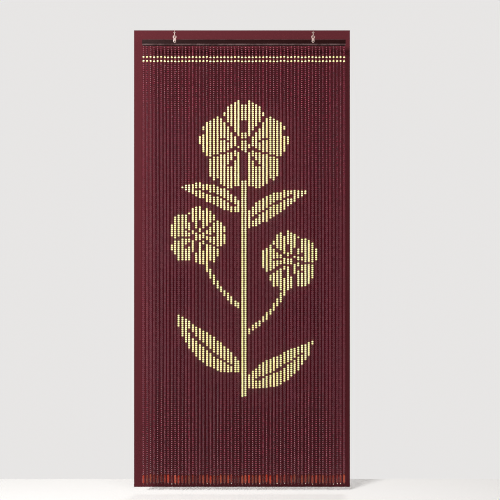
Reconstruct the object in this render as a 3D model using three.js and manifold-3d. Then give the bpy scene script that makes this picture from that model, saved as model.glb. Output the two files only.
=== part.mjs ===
// A bead curtain on a wooden rail, hung by two eye plates from two cup hooks.
// Millimetres, Z up, the front faces -Y. The origin is midway between the tops of the two hooks' flanges.
import * as THREE from "three";
import { mergeVertices } from "three/addons/utils/BufferGeometryUtils.js";
import Module from "manifold-3d";

const wasm = await Module();
wasm.setup();

// Rail: a wooden bar with eased edges, a bevel along its lower front edge and a groove in its underside.
const RAIL_LENGTH = 900;
const RAIL_HEIGHT = 24;
const RAIL_DEPTH = 20;
const RAIL_TOP = -28.5;
const RAIL_EASE = 1.5;
const RAIL_BEVEL_HEIGHT = 5;
const RAIL_BEVEL_DEPTH = 3;
const EASE_SEGMENTS = 2;
const GROOVE_DEPTH = 2.2;

// Cup hooks: coated wire under a round flange, with a stem that screws upwards into what holds the curtain.
const HOOK_SPACING = 612;
const WIRE_RADIUS = 2;
const WIRE_SEGMENTS = 5;
const WIRE_STEPS = 18;
const CRADLE_RADIUS = 6;
const TIP_RISE = 2.5;
const FLANGE_RADIUS = 6.5;
const FLANGE_THICKNESS = 2.5;
const STEM_RADIUS = 1.5;
const STEM_LENGTH = 14;
const STEM_POINT = 4;
const HOOK_SIDES = 20;

// Eye plates: a flat plate on the rail's front, with an eye above the rail and one screw below it.
const PLATE_THICKNESS = 1.6;
const EYE_RADIUS = 8;
const EYE_HOLE_RADIUS = 3.8;
const EYE_ABOVE_RAIL = 10.5;
const EYE_WAIST_ANGLE = (50 * Math.PI) / 180;
const FOOT_RADIUS = 6;
const FOOT_BELOW_RAIL_TOP = 9;
const SCREW_HOLE_RADIUS = 2.1;
const PLATE_SEGMENTS = 10;

// Screws: a low domed head on a plain shank.
const SCREW_HEAD_RADIUS = 3.2;
const SCREW_HEAD_HEIGHT = 1.6;
const SCREW_SHANK_RADIUS = 1.6;
const SCREW_SHANK_LENGTH = 13;
const SCREW_DOME_STEPS = 4;
const SCREW_SIDES = 16;
const PILOT_CLEARANCE = 0.4;

// Gap between pieces that touch on the real curtain.
const SEAT_GAP = 0.3;

// String strip: the narrow strip that holds the strings, let into the rail's groove.
const STRIP_LENGTH = 899;
const STRIP_THICKNESS = 3.2;
const STRIP_DEPTH = 11;

// Strings: a column as wide as the beads, then a short neck, a long end bead and a stop bead.
const STRING_COUNT = 58;
const STRING_PITCH = 15.6;
const BEAD_PITCH = 8.87;
const BEAD_COUNT = 214;
const BEAD_HALF_WIDTH = 4.4;
const NECK_HALF_WIDTH = 1.8;
const NECK_LENGTH = 1;
const END_BEAD_LENGTH = 38;
const END_BEAD_HALF_WIDTH = 4.3;
const STOP_BEAD_LENGTH = 5;
const STOP_BEAD_HALF_WIDTH = 2.5;
const STRING_SIDES = 4;
const COLUMN_STATIONS = 5;

// Unevenness of the strings, the most that each trait may add: in mm, but stretch as a share of the length.
const MEAN_SLACK = 2.6;
const SLACK = 1.3;
const STRETCH = 0.0014;
const LEAN = { x: 1.3, y: 2 };
const BOW = { x: 1, y: 1.6 };

// A number for each trait, and the factors that scatter the strings' shares of it.
const TRAIT = { lean: { x: 1, y: 2 }, bow: { x: 3, y: 4 }, slack: 5, stretch: 6 };
const SCATTER = { string: 12.9898, trait: 78.233, size: 43758.5453 };

// Corners of a mesh that lie closer than this are one corner.
const MERGE_DISTANCE = 1e-3;

// Places that follow from the sizes. The hooks' wires stand at Y 0 and the plates hang in their cradles.
const PLATE_BACK_Y = CRADLE_RADIUS + PLATE_THICKNESS / 2;
const PLATE_FRONT_Y = CRADLE_RADIUS - PLATE_THICKNESS / 2;
const RAIL_FRONT_Y = PLATE_BACK_Y + SEAT_GAP;
const RAIL_MIDDLE_Y = RAIL_FRONT_Y + RAIL_DEPTH / 2;
const EYE_Z = RAIL_TOP + EYE_ABOVE_RAIL;
const SCREW_Z = RAIL_TOP - FOOT_BELOW_RAIL_TOP;
const CRADLE_Z = EYE_Z + EYE_HOLE_RADIUS - SEAT_GAP - WIRE_RADIUS + CRADLE_RADIUS;
const STRIP_TOP = RAIL_TOP - RAIL_HEIGHT + GROOVE_DEPTH - SEAT_GAP;
const STRIP_BOTTOM = STRIP_TOP - STRIP_THICKNESS;

const stainedWood = new THREE.MeshStandardMaterial({ color: 0x2e2022, roughness: 0.45, metalness: 0 });
const paleEnamel = new THREE.MeshStandardMaterial({ color: 0xd8cfca, roughness: 0.35, metalness: 0 });
const darkSteel = new THREE.MeshStandardMaterial({ color: 0x4a4442, roughness: 0.4, metalness: 0.9 });
const redBeads = new THREE.MeshStandardMaterial({ color: 0x5a1c24, roughness: 0.3, metalness: 0 });

// Turn a closed three.js geometry into a solid that can be joined and cut.
function solidFrom(geometry) {
  const bare = geometry.clone();
  bare.deleteAttribute("normal");
  bare.deleteAttribute("uv");
  const merged = mergeVertices(bare, MERGE_DISTANCE);
  return new wasm.Manifold(
    new wasm.Mesh({
      numProp: 3,
      vertProperties: merged.attributes.position.array,
      triVerts: new Uint32Array(merged.index.array),
    }),
  );
}

// Turn a solid back into a three.js geometry.
function geometryFrom(solid) {
  const { vertProperties, triVerts } = solid.getMesh();
  const geometry = new THREE.BufferGeometry();
  geometry.setAttribute("position", new THREE.BufferAttribute(vertProperties, 3));
  geometry.setIndex(new THREE.BufferAttribute(triVerts, 1));
  geometry.computeVertexNormals();
  return geometry;
}

function namedMesh(name, geometry, material) {
  const mesh = new THREE.Mesh(geometry, material);
  mesh.name = name;
  return mesh;
}

// The rail's section, with X as depth from its front and Y as height above its foot.
function railSection() {
  const quarter = Math.PI / 2;
  const grooveHalf = STRIP_DEPTH / 2 + SEAT_GAP;
  const section = new THREE.Shape();
  section.moveTo(RAIL_BEVEL_DEPTH, 0);
  section.lineTo(RAIL_DEPTH / 2 - grooveHalf, 0);
  section.lineTo(RAIL_DEPTH / 2 - grooveHalf, GROOVE_DEPTH);
  section.lineTo(RAIL_DEPTH / 2 + grooveHalf, GROOVE_DEPTH);
  section.lineTo(RAIL_DEPTH / 2 + grooveHalf, 0);
  section.absarc(RAIL_DEPTH - RAIL_EASE, RAIL_EASE, RAIL_EASE, -quarter, 0);
  section.absarc(RAIL_DEPTH - RAIL_EASE, RAIL_HEIGHT - RAIL_EASE, RAIL_EASE, 0, quarter);
  section.absarc(RAIL_EASE, RAIL_HEIGHT - RAIL_EASE, RAIL_EASE, quarter, 2 * quarter);
  section.lineTo(0, RAIL_BEVEL_HEIGHT);
  section.closePath();
  return section;
}

// The rail, with a pilot hole behind each plate's screw.
function railGeometry() {
  const bar = new THREE.ExtrudeGeometry(railSection(), {
    depth: RAIL_LENGTH,
    bevelEnabled: false,
    curveSegments: EASE_SEGMENTS,
  });
  const sectionToYZ = new THREE.Matrix4().makeBasis(
    new THREE.Vector3(0, 1, 0),
    new THREE.Vector3(0, 0, 1),
    new THREE.Vector3(1, 0, 0),
  );
  bar.applyMatrix4(sectionToYZ);
  bar.translate(-RAIL_LENGTH / 2, RAIL_FRONT_Y, RAIL_TOP - RAIL_HEIGHT);
  let rail = solidFrom(bar);
  for (const x of hangerPlaces()) {
    rail = rail.subtract(pilotHole(x));
  }
  return geometryFrom(rail);
}

function pilotHole(x) {
  const radius = SCREW_SHANK_RADIUS + PILOT_CLEARANCE;
  const length = 2 * SCREW_SHANK_LENGTH;
  const hole = new THREE.CylinderGeometry(radius, radius, length, SCREW_SIDES);
  hole.translate(x, RAIL_FRONT_Y, SCREW_Z);
  return solidFrom(hole);
}

function hangerPlaces() {
  return [-HOOK_SPACING / 2, HOOK_SPACING / 2];
}

// The plate's outline stands in the XZ plane round its screw, and its thickness runs along Y.
function plateGeometry() {
  const eyeRise = EYE_ABOVE_RAIL + FOOT_BELOW_RAIL_TOP;
  const outline = new THREE.Shape();
  outline.absarc(0, 0, FOOT_RADIUS, -Math.PI, 0);
  outline.absarc(0, eyeRise, EYE_RADIUS, -EYE_WAIST_ANGLE, Math.PI + EYE_WAIST_ANGLE);
  outline.closePath();
  outline.holes.push(roundHole(0, SCREW_HOLE_RADIUS));
  outline.holes.push(roundHole(eyeRise, EYE_HOLE_RADIUS));
  const plate = new THREE.ExtrudeGeometry(outline, {
    depth: PLATE_THICKNESS,
    bevelEnabled: false,
    curveSegments: PLATE_SEGMENTS,
  });
  return plate.rotateX(Math.PI / 2);
}

function roundHole(height, radius) {
  const hole = new THREE.Path();
  hole.absarc(0, height, radius, 0, 2 * Math.PI, true);
  return hole;
}

// The screw's profile runs from the tip of its shank to the crown of its head.
function screwGeometry() {
  const profile = [new THREE.Vector2(0, 0), new THREE.Vector2(SCREW_SHANK_RADIUS, 0)];
  profile.push(new THREE.Vector2(SCREW_SHANK_RADIUS, SCREW_SHANK_LENGTH));
  for (let step = 0; step <= SCREW_DOME_STEPS; step += 1) {
    const turn = (step / SCREW_DOME_STEPS) * (Math.PI / 2);
    const radius = step === SCREW_DOME_STEPS ? 0 : SCREW_HEAD_RADIUS * Math.cos(turn);
    profile.push(new THREE.Vector2(radius, SCREW_SHANK_LENGTH + SCREW_HEAD_HEIGHT * Math.sin(turn)));
  }
  return geometryFrom(solidFrom(new THREE.LatheGeometry(profile, SCREW_SIDES)));
}

// The hook's centre line: down from the flange, round the cradle towards +Y and up to the tip.
class HookLine extends THREE.Curve {
  getPoint(t, target = new THREE.Vector3()) {
    const shank = -FLANGE_THICKNESS / 2 - CRADLE_Z;
    const bend = Math.PI * CRADLE_RADIUS;
    const along = t * (shank + bend + TIP_RISE);
    if (along < shank) {
      return target.set(0, 0, -FLANGE_THICKNESS / 2 - along);
    }
    if (along < shank + bend) {
      const turn = (along - shank) / CRADLE_RADIUS;
      const y = CRADLE_RADIUS * (1 - Math.cos(turn));
      return target.set(0, y, CRADLE_Z - CRADLE_RADIUS * Math.sin(turn));
    }
    return target.set(0, 2 * CRADLE_RADIUS, CRADLE_Z + along - shank - bend);
  }
}

function hookGeometry() {
  const section = new THREE.Shape();
  section.absarc(0, 0, WIRE_RADIUS, 0, 2 * Math.PI);
  const wire = new THREE.ExtrudeGeometry(section, {
    extrudePath: new HookLine(),
    steps: WIRE_STEPS,
    curveSegments: WIRE_SEGMENTS,
  });
  const profile = [
    new THREE.Vector2(0, -FLANGE_THICKNESS),
    new THREE.Vector2(FLANGE_RADIUS, -FLANGE_THICKNESS),
    new THREE.Vector2(FLANGE_RADIUS, 0),
    new THREE.Vector2(STEM_RADIUS, 0),
    new THREE.Vector2(STEM_RADIUS, STEM_LENGTH - STEM_POINT),
    new THREE.Vector2(0, STEM_LENGTH),
  ];
  const flange = new THREE.LatheGeometry(profile, HOOK_SIDES).rotateX(Math.PI / 2);
  return geometryFrom(solidFrom(flange).add(solidFrom(wire)));
}

// A fixed number from -1 to 1 for each string and trait, so that no two strings hang alike.
function share(string, trait) {
  const scattered = Math.sin(SCATTER.string * string + SCATTER.trait * trait) * SCATTER.size;
  return 2 * (scattered - Math.floor(scattered)) - 1;
}

// How far a string strays from its place in the strip, at a share of the way down.
function stray(string, down, axis) {
  const lean = LEAN[axis] * share(string, TRAIT.lean[axis]) * down;
  const bow = BOW[axis] * share(string, TRAIT.bow[axis]) * Math.sin(Math.PI * down);
  return lean + bow;
}

// One string as a four-sided solid, from inside the strip down to the foot of its stop bead.
function stringSolid(string) {
  const slack = MEAN_SLACK + SLACK * share(string, TRAIT.slack);
  const columnLength = BEAD_COUNT * BEAD_PITCH * (1 + STRETCH * share(string, TRAIT.stretch));
  const columnFoot = STRIP_BOTTOM - slack - columnLength;
  const endTop = columnFoot - NECK_LENGTH;
  const endFoot = endTop - END_BEAD_LENGTH;
  const stopFoot = endFoot - STOP_BEAD_LENGTH;
  const profile = [new THREE.Vector2(0, stopFoot)];
  const addRing = (halfWidth, z) => profile.push(new THREE.Vector2(halfWidth * Math.SQRT2, z));
  addRing(STOP_BEAD_HALF_WIDTH, stopFoot);
  addRing(STOP_BEAD_HALF_WIDTH, endFoot);
  addRing(END_BEAD_HALF_WIDTH, endFoot);
  addRing(END_BEAD_HALF_WIDTH, endTop);
  addRing(NECK_HALF_WIDTH, endTop);
  addRing(NECK_HALF_WIDTH, columnFoot);
  const columnTop = STRIP_BOTTOM + STRIP_THICKNESS / 2;
  for (let station = 0; station <= COLUMN_STATIONS; station += 1) {
    addRing(BEAD_HALF_WIDTH, columnFoot + ((columnTop - columnFoot) * station) / COLUMN_STATIONS);
  }
  profile.push(new THREE.Vector2(0, columnTop));
  const column = new THREE.LatheGeometry(profile, STRING_SIDES, Math.PI / STRING_SIDES).rotateX(Math.PI / 2);
  const rootX = (string - (STRING_COUNT - 1) / 2) * STRING_PITCH;
  const corners = column.attributes.position;
  for (let i = 0; i < corners.count; i += 1) {
    const down = Math.max(0, (STRIP_BOTTOM - corners.getZ(i)) / (STRIP_BOTTOM - stopFoot));
    corners.setX(i, corners.getX(i) + rootX + stray(string, down, "x"));
    corners.setY(i, corners.getY(i) + RAIL_MIDDLE_Y + stray(string, down, "y"));
  }
  return solidFrom(column);
}

// The strip with all its strings, which are apart from each other below it.
function stringsGeometry() {
  const strip = new THREE.BoxGeometry(STRIP_LENGTH, STRIP_DEPTH, STRIP_THICKNESS);
  strip.translate(0, RAIL_MIDDLE_Y, (STRIP_TOP + STRIP_BOTTOM) / 2);
  let fringe = solidFrom(strip);
  for (let string = 0; string < STRING_COUNT; string += 1) {
    fringe = fringe.add(stringSolid(string));
  }
  return geometryFrom(fringe);
}

const curtain = new THREE.Group();
curtain.add(namedMesh("rail", railGeometry(), stainedWood));
curtain.add(namedMesh("strings", stringsGeometry(), redBeads));

for (const [index, x] of hangerPlaces().entries()) {
  const side = ["left", "right"][index];
  const hook = namedMesh(`hook_${side}`, hookGeometry(), paleEnamel);
  hook.position.set(x, 0, 0);
  const plate = namedMesh(`eye_plate_${side}`, plateGeometry(), paleEnamel);
  plate.position.set(x, PLATE_BACK_Y, SCREW_Z);
  const screw = namedMesh(`screw_${side}`, screwGeometry(), darkSteel);
  screw.rotation.x = Math.PI;
  screw.position.set(x, PLATE_FRONT_Y - SEAT_GAP + SCREW_SHANK_LENGTH, SCREW_Z);
  curtain.add(hook, plate, screw);
}

export default curtain;
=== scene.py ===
"""A bead curtain: strings of lacquered beads under a stained rail, which hangs from two cup hooks."""

import logging
import math
from collections.abc import Callable, Sequence
from dataclasses import dataclass, field
from enum import Enum
from functools import cache, cached_property

import bmesh
import bpy
import numpy as np
from bmesh.types import BMesh, BMVert
from bpy.types import Material, Mesh, Node, NodeOutputs, NodeSocket, NodeTree, Object
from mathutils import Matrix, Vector


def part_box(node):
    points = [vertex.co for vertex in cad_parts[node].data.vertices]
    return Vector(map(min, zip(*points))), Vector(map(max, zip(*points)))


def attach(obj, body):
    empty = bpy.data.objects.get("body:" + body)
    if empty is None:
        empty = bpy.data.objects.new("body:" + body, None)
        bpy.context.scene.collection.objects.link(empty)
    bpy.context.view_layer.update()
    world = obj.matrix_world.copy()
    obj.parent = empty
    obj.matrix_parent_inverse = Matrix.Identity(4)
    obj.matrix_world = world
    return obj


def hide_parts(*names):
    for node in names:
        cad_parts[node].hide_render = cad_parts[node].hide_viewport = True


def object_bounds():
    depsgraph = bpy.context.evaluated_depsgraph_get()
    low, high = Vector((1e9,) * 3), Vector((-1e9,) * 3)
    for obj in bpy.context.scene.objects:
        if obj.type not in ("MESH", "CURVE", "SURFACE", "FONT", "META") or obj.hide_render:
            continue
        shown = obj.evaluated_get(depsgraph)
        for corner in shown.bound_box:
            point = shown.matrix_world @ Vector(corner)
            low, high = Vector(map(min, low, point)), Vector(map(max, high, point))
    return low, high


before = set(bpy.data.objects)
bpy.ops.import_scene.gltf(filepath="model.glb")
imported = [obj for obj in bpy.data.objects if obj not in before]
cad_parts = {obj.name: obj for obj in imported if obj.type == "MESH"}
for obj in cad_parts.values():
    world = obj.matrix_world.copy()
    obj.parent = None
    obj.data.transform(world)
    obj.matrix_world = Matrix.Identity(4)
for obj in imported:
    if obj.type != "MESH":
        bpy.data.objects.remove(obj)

CAD_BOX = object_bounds()
LOG = logging.getLogger("bead_curtain")

MM = 0.001
BODY = "root"
RANDOM_SEED = 17

# Sizes that the layout, the design and the beads share
STRING_PITCH = 15.6 * MM
BEAD_PITCH = 8.87 * MM
END_LENGTH = 38 * MM
STOP_HEIGHT = 4.4 * MM

# Scatter a fixed number for each string and trait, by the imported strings' own rule
STRING_STRIDE = 12.9898
TRAIT_STRIDE = 78.233
SCATTER = 43758.5453

# Half a dark line of the design, as a share of a bead's pitch
LINE_SHARE = 0.52

# Values that the finishes share
WHITE = (1, 1, 1, 1)
UNIT = (0.0, 1.0)
NOISE_SPAN = (0.3, 0.7)
DENT_FINENESS = 4.0
BLOTCH_SHIFT = (-0.18, 0.18)
FIBRE_SPAN = (0.3, 0.72)
BAND_SPAN = (0.35, 0.65)
PORE_SPAN = (0.6, 0.68)
PORE_DEPTH = 0.6

Pair = tuple[float, float]
Point = tuple[float, float, float]
Colour = tuple[float, float, float, float]
Profile = Sequence[Pair]
Sockets = dict[str | int, object]


class BeadKind(Enum):
    """The two colours of round bead."""

    RED = "red"
    PALE = "pale"


class Side(Enum):
    """The two ends of the rail that have a hanger."""

    LEFT = "left"
    RIGHT = "right"


class Trait(Enum):
    """What differs from string to string, each with its own row of scattered numbers."""

    LEAN_X = 1
    LEAN_Y = 2
    BOW_X = 3
    BOW_Y = 4
    SLACK = 5
    STRETCH = 6
    TONE = 9


class Ray(Enum):
    """The kinds of ray from which a light or a sheet of the stage can be hidden."""

    SHADOW = "visible_shadow"
    DIFFUSE = "visible_diffuse"
    GLOSSY = "visible_glossy"


class Wiring:
    """Adds nodes to one node tree and joins them up."""

    def __init__(self, tree: NodeTree) -> None:
        """Keep the tree that the nodes go into."""
        self.tree = tree

    def add(self, kind: str, sockets: Sockets | None = None, **settings: object) -> Node:
        """Add one node.

        Args:
            kind: Blender's name for the node type.
            sockets: Value or source socket for each input, by the input's name or number.
            settings: Other properties of the node.

        Returns:
            The new node.
        """
        node = self.tree.nodes.new(kind)
        for name, value in settings.items():
            setattr(node, name, value)
        for name, value in (sockets or {}).items():
            if isinstance(value, NodeSocket):
                self.tree.links.new(value, node.inputs[name])
            else:
                node.inputs[name].default_value = value
        return node

    def math(self, operation: str, first: object, second: object = 0.0) -> NodeSocket:
        """Add a Math node and return its result."""
        return self.add("ShaderNodeMath", {0: first, 1: second}, operation=operation).outputs[0]

    def mix(self, share: object, first: object, second: object, blend_type: str = "MIX") -> NodeSocket:
        """Mix two colours by a share and return the result."""
        sockets = {0: share, 6: first, 7: second}
        return self.add("ShaderNodeMix", sockets, data_type="RGBA", blend_type=blend_type).outputs[2]

    def remap(self, value: NodeSocket, span: Pair, target: Pair = UNIT) -> NodeSocket:
        """Map a value from one span to another, clamped, and return the result."""
        sockets = {"Value": value, 1: span[0], 2: span[1], 3: target[0], 4: target[1]}
        return self.add("ShaderNodeMapRange", sockets).outputs[0]

    def attribute(self, name: str) -> NodeSocket:
        """Read a number stored on the mesh."""
        return self.add("ShaderNodeAttribute", attribute_name=name).outputs["Fac"]

    def place(self) -> NodeSocket:
        """Read the place on the piece."""
        return self.add("ShaderNodeTexCoord").outputs["Object"]

    def noise(self, place: NodeSocket, levels: Sockets) -> NodeSocket:
        """Add a noise texture and return its value."""
        return self.add("ShaderNodeTexNoise", {"Vector": place, **levels}).outputs["Fac"]

    def bump(self, height: NodeSocket, strength: float, depth: float) -> NodeSocket:
        """Turn a height into a normal and return it."""
        sockets = {"Strength": strength, "Distance": depth, "Height": height}
        return self.add("ShaderNodeBump", sockets).outputs[0]

    def group(self, tree: NodeTree, sockets: Sockets) -> NodeOutputs:
        """Place a shader node group and return its outputs."""
        return self.add("ShaderNodeGroup", sockets, node_tree=tree).outputs

    def scatter(self, low: object, high: object, seed: NodeSocket) -> NodeSocket:
        """Add a random number from low to high and return it."""
        sockets = {2: low, 3: high, "Seed": seed}
        return self.add("FunctionNodeRandomValue", sockets, data_type="FLOAT").outputs[1]

    def put_out(self, geometry: NodeSocket, finish: NodeSocket, name: str) -> None:
        """End a Geometry Nodes tree: make all instances real, give them their finish and put them out.

        Args:
            geometry: What the tree has made.
            finish: The material for it.
            name: Name of the tree's output.
        """
        realized = self.add("GeometryNodeRealizeInstances", {"Geometry": geometry})
        dressed = self.add("GeometryNodeSetMaterial", {"Geometry": realized.outputs[0], "Material": finish})
        self.add("NodeGroupOutput", {name: dressed.outputs[0]})


def new_group(
    name: str, kind: str, inputs: dict[str, tuple], outputs: dict[str, str]
) -> tuple[Wiring, NodeOutputs]:
    """Start a node group with named sockets.

    Args:
        name: Name of the group.
        kind: Its kind, Shader or Geometry.
        inputs: Kind of socket and default, or None for no default, of each input.
        outputs: Kind of socket of each output.

    Returns:
        The wiring of the new group, and the sources that its inputs give.
    """
    tree = bpy.data.node_groups.new(name, f"{kind}NodeTree")
    if kind == "Geometry":
        tree.is_modifier = True
    for label, (socket, default) in inputs.items():
        made = tree.interface.new_socket(name=label, in_out="INPUT", socket_type=f"NodeSocket{socket}")
        if default is not None:
            made.default_value = default
    for label, socket in outputs.items():
        tree.interface.new_socket(name=label, in_out="OUTPUT", socket_type=f"NodeSocket{socket}")
    wiring = Wiring(tree)
    return wiring, wiring.add("NodeGroupInput").outputs


def bare_wiring(owner: Material | bpy.types.World) -> Wiring:
    """Give a material or a world an empty node tree.

    Args:
        owner: The material or world.

    Returns:
        The wiring of its tree.
    """
    owner.use_nodes = True
    owner.node_tree.nodes.clear()
    return Wiring(owner.node_tree)


def run_tree(piece: Object, tree: NodeTree, values: dict[str, object]) -> None:
    """Run a Geometry Nodes tree on a piece and keep the result as its plain mesh.

    Args:
        piece: The piece that the tree works on.
        tree: The node tree.
        values: Value of each input, by the input's name.
    """
    modifier = piece.modifiers.new(tree.name, "NODES")
    modifier.node_group = tree
    for item in tree.interface.items_tree:
        if item.item_type == "SOCKET" and item.in_out == "INPUT" and item.name in values:
            modifier[item.identifier] = values[item.name]
    flatten(piece)


def flatten(piece: Object) -> None:
    """Replace a piece's mesh by what its modifiers make of it, and remove them.

    Args:
        piece: The piece to change.
    """
    depsgraph = bpy.context.evaluated_depsgraph_get()
    evaluated = piece.evaluated_get(depsgraph)
    mesh = bpy.data.meshes.new_from_object(evaluated, preserve_all_data_layers=True, depsgraph=depsgraph)
    piece.modifiers.clear()
    piece.data = mesh


def new_piece(name: str, data: bpy.types.ID) -> Object:
    """Put a mesh, a curve, a light or a camera into the scene at the origin.

    Args:
        name: Name of the new piece.
        data: The mesh, curve, light or camera.

    Returns:
        The new piece.
    """
    piece = bpy.data.objects.new(name, data)
    bpy.context.scene.collection.objects.link(piece)
    return piece


def mesh_from(name: str, work: BMesh, smooth: bool = True) -> Mesh:
    """Turn a bmesh into a mesh whose faces point outwards.

    Args:
        name: Name of the new mesh.
        work: The bmesh, which is freed.
        smooth: Whether its faces are shaded smooth.

    Returns:
        The new mesh.
    """
    bmesh.ops.recalc_face_normals(work, faces=work.faces)
    for face in work.faces:
        face.smooth = smooth
    mesh = bpy.data.meshes.new(name)
    work.to_mesh(mesh)
    work.free()
    return mesh


def skin(work: BMesh, rings: Sequence[list[BMVert]]) -> None:
    """Join rings in a row with faces.

    Args:
        work: The bmesh that holds the rings.
        rings: The rings in order, each of as many vertices as the others or of one, at a pole.
    """
    for lower, upper in zip(rings, rings[1:]):
        sides = max(len(lower), len(upper))
        for side in range(sides):
            after = (side + 1) % sides
            if len(lower) == 1:
                work.faces.new((lower[0], upper[after], upper[side]))
            elif len(upper) == 1:
                work.faces.new((lower[side], lower[after], upper[0]))
            else:
                work.faces.new((lower[side], lower[after], upper[after], upper[side]))


def revolve(work: BMesh, profile: Profile, sides: int, axis: Callable[..., Vector]) -> None:
    """Turn a profile round an axis, closed at both ends.

    Args:
        work: The bmesh to add to.
        profile: Radius and height of each ring; the first and last radius is 0.
        sides: Number of sides of each ring.
        axis: Gives the place of a point from its two coordinates across the axis and its height.
    """
    rings = []
    for radius, height in profile:
        turns = [math.tau * side / sides for side in range(sides if radius else 1)]
        spots = [axis(radius * math.cos(turn), radius * math.sin(turn), height) for turn in turns]
        rings.append([work.verts.new(spot) for spot in spots])
    skin(work, rings)


def add_block(work: BMesh, size: Point, middle: Point) -> None:
    """Add a block to a bmesh by its size and its middle."""
    for vertex in bmesh.ops.create_cube(work, size=1)["verts"]:
        vertex.co = Vector(a * b for a, b in zip(vertex.co, Vector(size))) + Vector(middle)


@dataclass(frozen=True)
class StringLayout:
    """How the strings hang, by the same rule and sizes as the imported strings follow."""

    count: int = 58
    pitch: float = STRING_PITCH
    beads: int = 214
    bead_pitch: float = BEAD_PITCH
    strip_thickness: float = 3.2 * MM
    mean_slack: float = 2.6 * MM
    slack: float = 1.3 * MM
    stretch: float = 0.0014
    lean: Pair = (1.3 * MM, 2.0 * MM)
    bow: Pair = (1.0 * MM, 1.6 * MM)
    neck: float = 1 * MM
    end_length: float = END_LENGTH
    stop_length: float = 5 * MM

    @cached_property
    def strip_bottom(self) -> float:
        """Height of the strip's underside."""
        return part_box("strings")[1][2] - self.strip_thickness

    @cached_property
    def middle_y(self) -> float:
        """Depth at which the strings hang, the middle of the rail."""
        low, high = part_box("rail")
        return (low[1] + high[1]) / 2

    @staticmethod
    def share(string: int, trait: Trait) -> float:
        """Return a fixed number from -1 to 1 for a string and one of its traits."""
        scattered = math.sin(STRING_STRIDE * string + TRAIT_STRIDE * trait.value) * SCATTER
        return 2 * (scattered - math.floor(scattered)) - 1

    def bead_step(self, string: int) -> float:
        """Return the height of one bead on a string, with the string's own stretch."""
        return self.bead_pitch * (1 + self.stretch * self.share(string, Trait.STRETCH))

    def column_top(self, string: int) -> float:
        """Return the height of the top of a string's first bead."""
        return self.strip_bottom - self.mean_slack - self.slack * self.share(string, Trait.SLACK)

    def end_top(self, string: int) -> float:
        """Return the height of the top of a string's end bead, a neck below its last round bead."""
        return self.column_top(string) - self.beads * self.bead_step(string) - self.neck

    def stop_foot(self, string: int) -> float:
        """Return the height of the lowest point of a string's stop bead."""
        return self.end_top(string) - self.end_length - self.stop_length

    def stop_top(self, string: int) -> float:
        """Return the height of the top of a string's stop bead."""
        return self.stop_foot(string) + self.stop_length

    def place(self, string: int, height: float) -> Point:
        """Find the point of a string's cord at a height.

        Args:
            string: Number of the string, from 0 on the left.
            height: Height of the point, in metres.

        Returns:
            X, Y and Z of the point, in metres.
        """
        span = self.strip_bottom - self.stop_foot(string)
        down = max(0.0, (self.strip_bottom - height) / span)
        traits = ((Trait.LEAN_X, Trait.BOW_X), (Trait.LEAN_Y, Trait.BOW_Y))
        strays = []
        for lean, bow, (lean_trait, bow_trait) in zip(self.lean, self.bow, traits):
            leaned = lean * self.share(string, lean_trait) * down
            bowed = bow * self.share(string, bow_trait) * math.sin(math.pi * down)
            strays.append(leaned + bowed)
        root_x = (string - (self.count - 1) / 2) * self.pitch
        return root_x + strays[0], self.middle_y + strays[1], height


@dataclass(frozen=True)
class Motif:
    """A part of the flower design, which picks the pale beads."""

    @staticmethod
    def half_line(across_x: np.ndarray, across_z: np.ndarray) -> np.ndarray:
        """Return half the thickness of a dark line one bead wide, for a line with that unit normal."""
        return LINE_SHARE * np.hypot(STRING_PITCH * across_x, BEAD_PITCH * across_z)

    def beads(self, xs: np.ndarray, zs: np.ndarray) -> np.ndarray:
        """Say which beads of those at xs, zs are pale."""
        raise NotImplementedError


@dataclass(frozen=True)
class Blossom(Motif):
    """An open flower seen from the front, with a disc and notched petals."""

    x: float
    z: float
    radius: float
    turn: float = 0.0
    petals: int = 5
    disc: float = 0.12
    petal_root: float = 0.17
    petal_width: float = 0.47
    petal_lean: float = 0.95
    petal_roundness: float = 0.5
    notch: float = 0.87
    vein: Pair = (0.3, 0.55)

    def beads(self, xs: np.ndarray, zs: np.ndarray) -> np.ndarray:
        """Pick the beads on the disc or on a petal, with dark lines between the petals.

        Args:
            xs: Place of each bead across the curtain, in metres.
            zs: Height of each bead, in metres.

        Returns:
            True for each pale bead.
        """
        step = 2 * math.pi / self.petals
        distance = np.hypot(xs - self.x, zs - self.z)
        angle = np.arctan2(xs - self.x, zs - self.z) - self.turn
        axis = np.round(angle / step) * step
        off_axis = angle - axis
        along = distance * np.cos(off_axis) / self.radius
        across = np.abs(distance * np.sin(off_axis))
        reach = np.clip((along - self.petal_root) / (1 - self.petal_root), 0, 1)
        swell = np.sin(math.pi * reach**self.petal_lean) ** self.petal_roundness
        petal = (reach > 0) & (reach < 1) & (across < self.petal_width * self.radius * swell)
        notch = (along > self.notch) & (across < (along - self.notch) * self.radius)
        border = axis + np.sign(off_axis) * step / 2 + self.turn
        to_border = distance * np.sin(step / 2 - np.abs(off_axis))
        apart = to_border > self.half_line(np.cos(border), np.sin(border))
        vein_half = self.half_line(np.cos(axis + self.turn), np.sin(axis + self.turn))
        vein = (across < vein_half) & (along > self.vein[0]) & (along < self.vein[1])
        disc = distance < self.disc * self.radius
        ring = distance > self.disc * self.radius + BEAD_PITCH
        return disc | (petal & ~notch & apart & ~vein & ring)


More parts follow.
